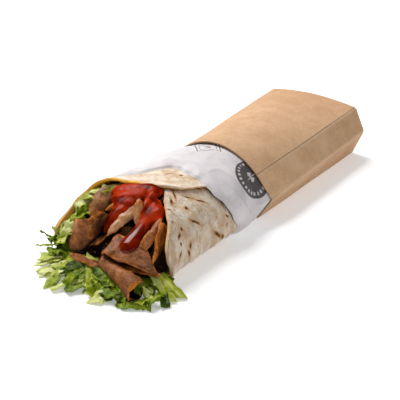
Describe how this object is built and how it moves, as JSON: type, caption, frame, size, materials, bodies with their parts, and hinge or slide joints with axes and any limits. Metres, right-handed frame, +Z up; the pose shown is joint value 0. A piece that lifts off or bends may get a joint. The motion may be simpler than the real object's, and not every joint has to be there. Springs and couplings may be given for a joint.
{
  "type": "doner wrap",
  "caption": "Doner wrap lying in paper and an open kraft sleeve, its slanted open end showing shaved meat, red sauce and spilled shredded lettuce.",
  "frame": {"origin": "on the ground under the middle of the whole wrap, with its spilled lettuce", "axes": "+Z up, +Y along the roll towards the kraft sleeve's far end, +X to the side where the tortilla's outer lap ends"},
  "size_m": [0.1142, 0.262, 0.0418],
  "materials": {
    "kraft": "matte unbleached kraft board with fine fibres",
    "paper": "thin white greaseproof paper, slightly translucent, softly creased",
    "tortilla": "floury matte flour tortilla with toasted brown blisters",
    "lettuce": "crisp shredded lettuce, satin, pale ribs and deep green leaf",
    "meat": "grilled shaved doner meat, moist satin, orange-brown crusted edges",
    "sauce": "thick glossy red chilli and tomato sauce"
  },
  "bodies": {
    "root": {"kraft_sleeve": "kraft", "paper_wrap": "paper", "tortilla": "tortilla", "lettuce": "lettuce", "meat_filling": "meat", "meat_slice_left_top": "meat", "meat_slice_left_curled": "meat", "meat_slice_left_low": "meat", "meat_slice_folded": "meat", "meat_slice_rolled": "meat", "meat_slice_right_tall": "meat", "meat_slice_middle_long": "meat", "meat_slice_middle_short": "meat", "meat_slice_right_thin": "meat", "meat_slice_tip": "meat", "meat_slice_rim": "meat", "sauce": "sauce"}
  },
  "joints": []
}
